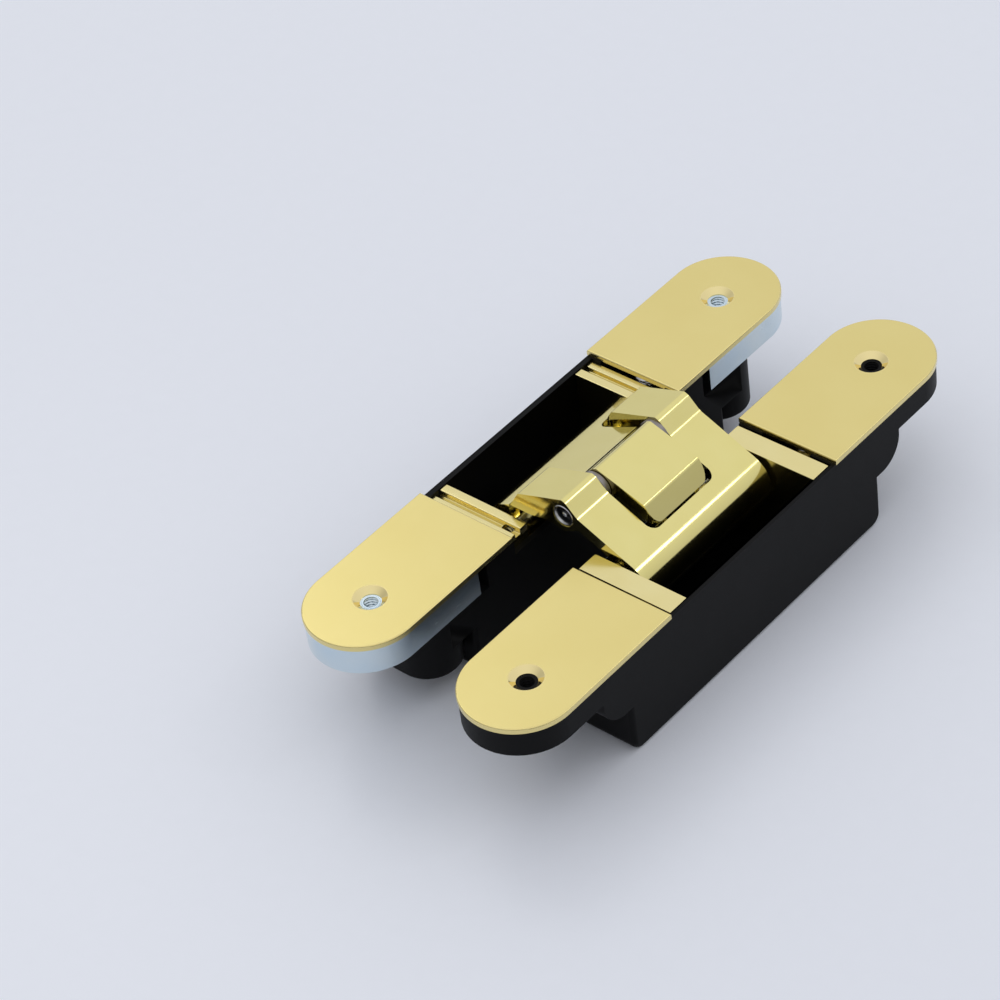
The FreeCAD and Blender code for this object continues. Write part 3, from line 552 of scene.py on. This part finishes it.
def stadium(reach, radius):
    """At each angle, radius over sine where that meets the straight side, and elsewhere reach times
    cosine plus the root of radius squared less (reach times sine) squared, for the round end."""
    sine, cosine = abs(np.sin(ANGLES)), abs(np.cos(ANGLES))
    side = radius / np.maximum(sine, 0.001)
    cap = reach * cosine + np.sqrt(np.maximum(radius**2 - (reach * sine) ** 2, 0))
    return np.where(side * cosine <= reach, side, cap)


def clamp_boss(end, way):
    """Rings from the top's middle, down the wall, round the lower edge and in to the middle below."""
    turn = np.linspace(0, np.pi / 2, ROUNDING_RINGS)
    inset = np.concatenate([[0.0], BOSS["round"] * (1 - np.cos(turn))])
    walls = stadium(BOSS["reach"], BOSS["radius"]) - inset[:, None]
    wall_heights = np.concatenate([[BOSS["high"]], BOSS["low"] + BOSS["round"] * (1 - np.sin(turn))])
    radius = np.vstack([0 * ANGLES, walls, 0 * ANGLES])
    station = even([BOSS["high"], *wall_heights, BOSS["low"]])
    centre = (-COVER_CENTRE, way * BOSS["place"] * MM, 0.0)
    ring_skin("clamp_boss_" + end, "jamb_body", radius * MM, station * MM, centre)


for end, way in (("near", -1), ("far", 1)):
    clamp_boss(end, way)

# %% [markdown]
# ## Screws under the covers
# Seen from the top, each screw shows a hexagonal key socket and a turned chamfer, and from the side
# its thread. The fixing plates are clamped by cap screws with round heads, the others are set
# screws without a head, and the two large ones on the door side have a neck that turns in the body.
# Each head stays a hair off its seat, so that the plate under it can slide.

# %% Screws
SCREWS = {
    "door_screw": {"crest": 4.0, "pitch": 1.25, "key": 2.3, "key_depth": 4.0, "neck": (2.2, 3.2)},
    "block_screw": {"crest": 3.2, "pitch": 1.0, "key": 2.3, "key_depth": 2.2},
    "plate_screw": {"crest": 3.0, "pitch": 1.0, "key": 1.8, "key_depth": 2.2},
    "height_screw": {"crest": 2.5, "pitch": 0.8, "key": 2.3, "key_depth": 2.2, "head": (4.2, 3.6)},
}
CHAMFER = 0.35
SOCKET_CHAMFER = 0.25
SOCKET_FLOOR_SLOPE = 0.25
RIM_OVER_FLAT = 1.18
THREAD_DEPTH = 0.55
SHY = 0.02


def socket_screw(node, crest, pitch, key, key_depth, neck=None, head=None):
    """Rings from the socket's floor up its wall, over the chamfered top, down the thread to the tip."""
    low, high = (np.array(corner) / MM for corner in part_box(node))
    x, y = (low[:2] + high[:2]) / 2
    top, foot = high[2], low[2]
    wide = head[0] if head else crest
    key_wall = hexagon(key)
    rim = np.maximum(key_wall, RIM_OVER_FLAT * key * math.cos(math.pi / 6))
    key_floor = top - key_depth
    socket = [0 * ANGLES, key_wall / 2, key_wall, key_wall, rim]
    socket_station = [key_floor - 2 * SOCKET_FLOOR_SLOPE, key_floor - SOCKET_FLOOR_SLOPE, key_floor]
    socket_station += [top - SOCKET_CHAMFER, top]
    thread_top, thread_low = top - CHAMFER, foot
    top_radius, top_station = [wide - CHAMFER, wide], [top, thread_top]
    if head:
        thread_top = top - head[1] + SHY
        top_radius += [wide, crest]
        top_station += [thread_top, thread_top]
    if neck:
        thread_low = foot + neck[1]
    turns, skin = helix(crest, THREAD_DEPTH * pitch, pitch, thread_low + CHAMFER, thread_top)
    tail_radius, tail_station = [crest - CHAMFER], [thread_low]
    if neck:
        tail_radius += [neck[0], neck[0], neck[0] - CHAMFER]
        tail_station += [thread_low, foot + CHAMFER, foot]
    tail_radius.append(0.0)
    tail_station.append(foot)
    radii = np.vstack([np.array(socket), even(top_radius), skin[::-1], even(tail_radius)])
    stations = np.vstack([even(socket_station + top_station), turns[::-1], even(tail_station)])
    piece = ring_skin(node + "_threaded", node, radii * MM, stations * MM, (x * MM, y * MM, 0.0))
    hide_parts(node)


for node in NODES:
    kind = "_".join(node.split("_")[:2])
    if kind in SCREWS:
        socket_screw(node, **SCREWS[kind])

# %% [markdown]
# ## Threads for the cover screws
# Through each cover's countersunk hole the photograph shows a tapped hole: bright zinc in the jamb's
# fixing plates, black in the door's flanges. Its thread is a thin tube with a wall, so that it has
# an inside and an outside: up the groove on the inside, and down the smooth outside.

# %% Tapped holes
TAP_OUTSIDE = 2.12
TAP_CREST = 1.72
TAP_PITCH = 0.8
TAP_DEPTH = 6.6
TAP_WALL = 0.04
COVER_THICKNESS = 1.4
TAPPED = {
    "jamb_near": "fixing_plate_near",
    "jamb_far": "fixing_plate_far",
    "door_near": "door_body",
    "door_far": "door_body",
}
for where, holder in TAPPED.items():
    side, end = where.split("_")
    way = -1 if end == "near" else 1
    x = -COVER_CENTRE if side == "jamb" else COVER_CENTRE
    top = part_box("cover_" + where)[1][2] / MM - COVER_THICKNESS - SHY
    depth = TAP_OUTSIDE - TAP_WALL - TAP_CREST
    turns, skin = helix(TAP_CREST, depth, TAP_PITCH, top - TAP_DEPTH, top, inward=True)
    radii = np.vstack([skin, even([TAP_OUTSIDE, TAP_OUTSIDE])])
    stations = np.vstack([turns, even([top, top - TAP_DEPTH])])
    centre = (x, way * COVER_HOLE, 0.0)
    ring_skin("tapped_hole_" + where, holder, radii * MM, stations * MM, centre, loop=True)

# %% [markdown]
# ## The knuckle pin
# Its two ends are the only steel that the open hinge shows on top: a bright chamfered ring round a
# sunk floor painted dark, a painted shade and reflection of the dark castings, with a small dome in its
# middle that catches the light.
# The profile goes from the middle of one dome, over the floor, the ring and the chamfer, along the
# pin, and the same way back at the other end.

# %% Knuckle pin
PIN = {"radius": 3.0, "chamfer": 0.3, "mouth": 2.4, "floor": 2.0, "sunk": 1.2, "dome": 1.0, "dome_rise": 0.8}
DOME_RINGS = 9


def knuckle_pin():
    """A quarter ellipse makes each dome: dome times cosine out, dome_rise times sine up from the floor."""
    low, high = (np.array(corner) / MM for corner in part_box("centre_pin"))
    sweep = np.linspace(np.pi / 2, 0, DOME_RINGS)
    end_radius = [*(PIN["dome"] * np.cos(sweep)), PIN["floor"], PIN["mouth"]]
    end_radius += [PIN["radius"] - PIN["chamfer"], PIN["radius"]]
    end_depth = [*(PIN["sunk"] - PIN["dome_rise"] * np.sin(sweep)), PIN["sunk"], 0.0, 0.0, PIN["chamfer"]]
    radius = end_radius + end_radius[::-1]
    station = [low[1] + depth for depth in end_depth] + [high[1] - depth for depth in end_depth[::-1]]
    centre = (0.0, 0.0, (low[2] + high[2]) / 2 * MM)
    piece = ring_skin("knuckle_pin", "centre_pin", even(radius) * MM, even(station) * MM, centre, axis="Y")
    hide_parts("centre_pin")


knuckle_pin()

# %% [markdown]
# ## The studio
# Polished metal shows the room more than itself, so the room is most of the lighting here. It is
# pale all round, brighter overhead and behind the hinge than in front of it. One small lamp stands
# where the bent crests of the arms mirror it, which draws the white bands along them, and a wide
# weak one behind gives the floor its soft shadows and makes the near covers a little paler.

# %% Floor, lamps and room
FLOOR_COLOUR = (0.84, 0.86, 0.92)
FLOOR_HALF = 6.0
FIBRE_CONTRAST = 1.02
ROOM_COLOUR = (0.95, 0.965, 1.0)
BAND_MIDDLE = 0.05
BAND_HALF = 0.08


def floor():
    """A wide sheet of pale paper."""
    paper = Finish("pale_paper", roughness=0.32, specular_ior_level=0.5)
    fibres = paper.noise(220.0, detail=4.0)
    paler = tuple(part * FIBRE_CONTRAST for part in FLOOR_COLOUR)
    paper.set(base_color=paper.blend(fibres, FLOOR_COLOUR, paler))
    mesh = bpy.data.meshes.new("floor")
    corners = [(FLOOR_HALF * x, FLOOR_HALF * y, 0) for x, y in ((-1, -1), (1, -1), (1, 1), (-1, 1))]
    mesh.from_pydata(corners, [], [(0, 1, 2, 3)])
    mesh.materials.append(paper.material)
    sheet = bpy.data.objects.new("floor", mesh)
    bpy.context.scene.collection.objects.link(sheet)


def lamp(name, direction, distance, wide, high, glow):
    """A soft rectangle of a given glow, seen from the hinge in a direction. Watts = glow x pi x area."""
    data = bpy.data.lights.new(name, "AREA")
    data.shape = "RECTANGLE"
    data.size = wide
    data.size_y = high
    data.energy = glow * math.pi * wide * high
    made = bpy.data.objects.new(name, data)
    aim = Vector(direction).normalized()
    made.location = aim * distance
    made.rotation_euler = (-aim).to_track_quat("-Z", "Y").to_euler()
    bpy.context.scene.collection.objects.link(made)


def room(front, back, overhead, dim):
    """Pale light from all round. Its strength is front or back by how far a direction looks to the
    back, goes over to overhead with height, and loses the share dim just above the horizon, which
    is most on the right."""
    world = bpy.data.worlds.new("room")
    world.use_nodes = True
    bpy.context.scene.world = world
    net = Network(world.node_tree)
    direction = net.node("ShaderNodeTexCoord", {}, {}, "Generated")
    x, y, z = (net.node("ShaderNodeSeparateXYZ", {}, {"Vector": direction}, axis) for axis in "XYZ")
    rear = 1 - (y * 0.8 - x * 0.1).below(0.1, 0.9)
    height = 1 - z.below(0.55, 0.45)
    side = front + (back - front) * rear
    low_band = abs(z - BAND_MIDDLE).below(BAND_HALF, BAND_HALF)
    strength = (side + (overhead - side) * height) * (1 - dim * low_band * (0.5 + 0.5 * x))
    background = world.node_tree.nodes["Background"]
    net.feed(background.inputs["Color"], ROOM_COLOUR)
    net.feed(background.inputs["Strength"], strength)


floor()
lamp("crest_lamp", (0.434, 0.527, 0.731), distance=1.2, wide=0.09, high=0.15, glow=4.4)
lamp("window_lamp", (-0.65, 0.27, 0.74), distance=1.5, wide=0.42, high=0.38, glow=1.5)
room(front=0.35, back=0.86, overhead=0.95, dim=0.6)
bpy.context.scene.view_settings.view_transform = "Standard"

# %% [markdown]
# ## The camera
# The place, the aim, the lens and the slight roll were solved from the corners of the covers in
# the photograph, so the render lines up with it.

# %% Camera
CAMERA_PLACE = Vector((0.42958, -0.46190, 0.57842))
CAMERA_AIM = Vector((-0.019466, -0.022355, 0.0304))
CAMERA_ROLL = -8.2588
LENS = 131.149

camera_data = bpy.data.cameras.new("camera")
camera_data.lens = LENS
camera_data.sensor_width = 36.0
camera_data.clip_start = 0.01
camera = bpy.data.objects.new("camera", camera_data)
roll = Quaternion((0, 0, 1), math.radians(CAMERA_ROLL))
camera.rotation_mode = "QUATERNION"
camera.rotation_quaternion = (CAMERA_AIM - CAMERA_PLACE).to_track_quat("-Z", "Y") @ roll
camera.location = CAMERA_PLACE
bpy.context.scene.collection.objects.link(camera)
bpy.context.scene.camera = camera
